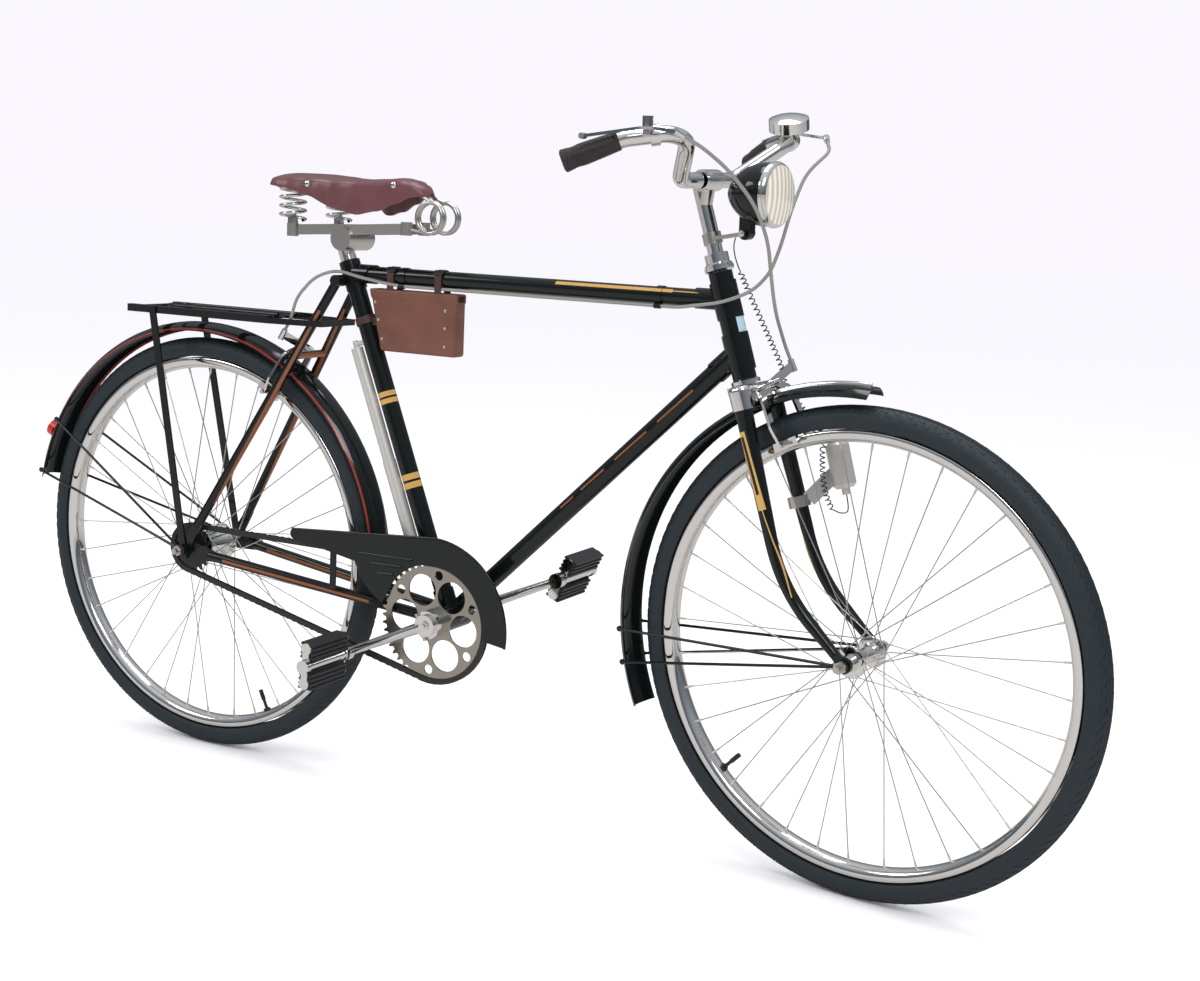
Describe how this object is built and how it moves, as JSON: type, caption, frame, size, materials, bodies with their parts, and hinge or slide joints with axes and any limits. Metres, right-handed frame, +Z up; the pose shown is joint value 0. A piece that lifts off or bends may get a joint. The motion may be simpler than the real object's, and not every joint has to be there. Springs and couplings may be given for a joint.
{
  "type": "roadster bicycle",
  "caption": "Diamond-frame roadster bicycle with sprung leather saddle, rear rack, mudguards, chain guard, lamp and hand brakes; it rolls, steers and pedals.",
  "frame": {"origin": "the rider's point on top of the saddle, on the centre plane", "axes": "+X forward along the wheelbase, +Y to the rider's left, +Z up"},
  "size_m": [1.8956, 0.5062, 1.092],
  "materials": {
    "black_enamel": "gloss black stove enamel with gold lining",
    "chrome": "bright chrome plate",
    "steel": "zinc and nickel plated steel",
    "silver": "satin silver metal",
    "chain_steel": "dark oiled steel",
    "tyre": "black rubber",
    "pedal_rubber": "black ribbed rubber",
    "grip_rubber": "dark brown ribbed rubber",
    "saddle_leather": "red brown leather",
    "bag_leather": "brown leather",
    "red_lens": "red reflector",
    "lamp_glass": "clear fluted glass",
    "cable_casing": "light grey casing",
    "lead": "dark insulated wire"
  },
  "bodies": {
    "frame": {"head_tube": "black_enamel", "seat_tube": "black_enamel", "top_tube": "black_enamel", "down_tube": "black_enamel", "head_lugs": "black_enamel", "seat_lug": "black_enamel", "bracket_shell": "black_enamel", "chain_stays": "black_enamel", "seat_stays": "black_enamel", "headset_cups": "chrome", "seat_post": "chrome", "saddle_cover": "saddle_leather", "saddle_springs": "chrome", "saddle_frame": "steel", "rear_mudguard": "black_enamel", "rear_mudguard_stays": "black_enamel", "rear_reflector": "red_lens", "rack_deck": "black_enamel", "rack_legs": "black_enamel", "chain_guard": "black_enamel", "chain": "chain_steel", "rear_axle": "steel", "rear_brake": "chrome", "pump": "silver", "tool_bag": "bag_leather", "rear_brake_cable": "cable_casing"},
    "steering": {"fork_blades": "black_enamel", "fork_crown": "chrome", "headset_nut": "chrome", "stem": "chrome", "handlebar": "chrome", "grips": "grip_rubber", "brake_levers": "chrome", "bell": "chrome", "lamp_shell": "black_enamel", "lamp_rim": "chrome", "lamp_lens": "lamp_glass", "lamp_bracket": "steel", "front_mudguard": "black_enamel", "front_mudguard_stays": "black_enamel", "front_brake": "chrome", "dynamo": "silver", "dynamo_bracket": "steel", "front_axle": "steel", "front_brake_cable": "cable_casing", "rear_brake_cable_loop": "cable_casing", "dynamo_lead": "lead"},
    "front_wheel": {"front_tyre": "tyre", "front_rim": "chrome", "front_hub": "steel"},
    "rear_wheel": {"rear_tyre": "tyre", "rear_rim": "chrome", "rear_hub": "steel"},
    "rear_sprocket": {"rear_sprocket": "chain_steel"},
    "crankset": {"chainring": "chrome", "cranks": "chrome"},
    "left_pedal": {"left_pedal": "chrome", "left_pedal_rubbers": "pedal_rubber"},
    "right_pedal": {"right_pedal": "chrome", "right_pedal_rubbers": "pedal_rubber"}
  },
  "joints": [
    {"name": "steering", "type": "hinge", "parent": "frame", "child": "steering", "pos_m": [0.84192, 0, -0.65072], "axis": [-0.309, 0, 0.9511], "range_deg": [-52.6, 67.4], "deforming": ["rear_brake_cable_loop"]},
    {"name": "front_wheel_spin", "type": "hinge", "parent": "steering", "child": "front_wheel", "pos_m": [0.91737, -0.0103, -0.62621], "axis": [0.1225, 0.9917, 0.0398], "continuous": true},
    {"name": "rear_wheel_spin", "type": "hinge", "parent": "frame", "child": "rear_wheel", "pos_m": [-0.25, 0, -0.626], "axis": [0, 1, 0], "continuous": true},
    {"name": "crank_spin", "type": "hinge", "parent": "frame", "child": "crankset", "pos_m": [0.239, 0, -0.678], "axis": [0, 1, 0], "continuous": true},
    {"name": "sprocket_spin", "type": "hinge", "parent": "frame", "child": "rear_sprocket", "pos_m": [-0.25, 0, -0.626], "axis": [0, 1, 0], "continuous": true},
    {"name": "left_pedal_spin", "type": "hinge", "parent": "crankset", "child": "left_pedal", "pos_m": [0.38926, 0, -0.60984], "axis": [0, 1, 0], "continuous": true},
    {"name": "right_pedal_spin", "type": "hinge", "parent": "crankset", "child": "right_pedal", "pos_m": [0.08874, 0, -0.74616], "axis": [0, 1, 0], "continuous": true}
  ],
  "couplings": [
    {"joint": "sprocket_spin", "follows": "crank_spin", "ratio": 2.4211}
  ]
}
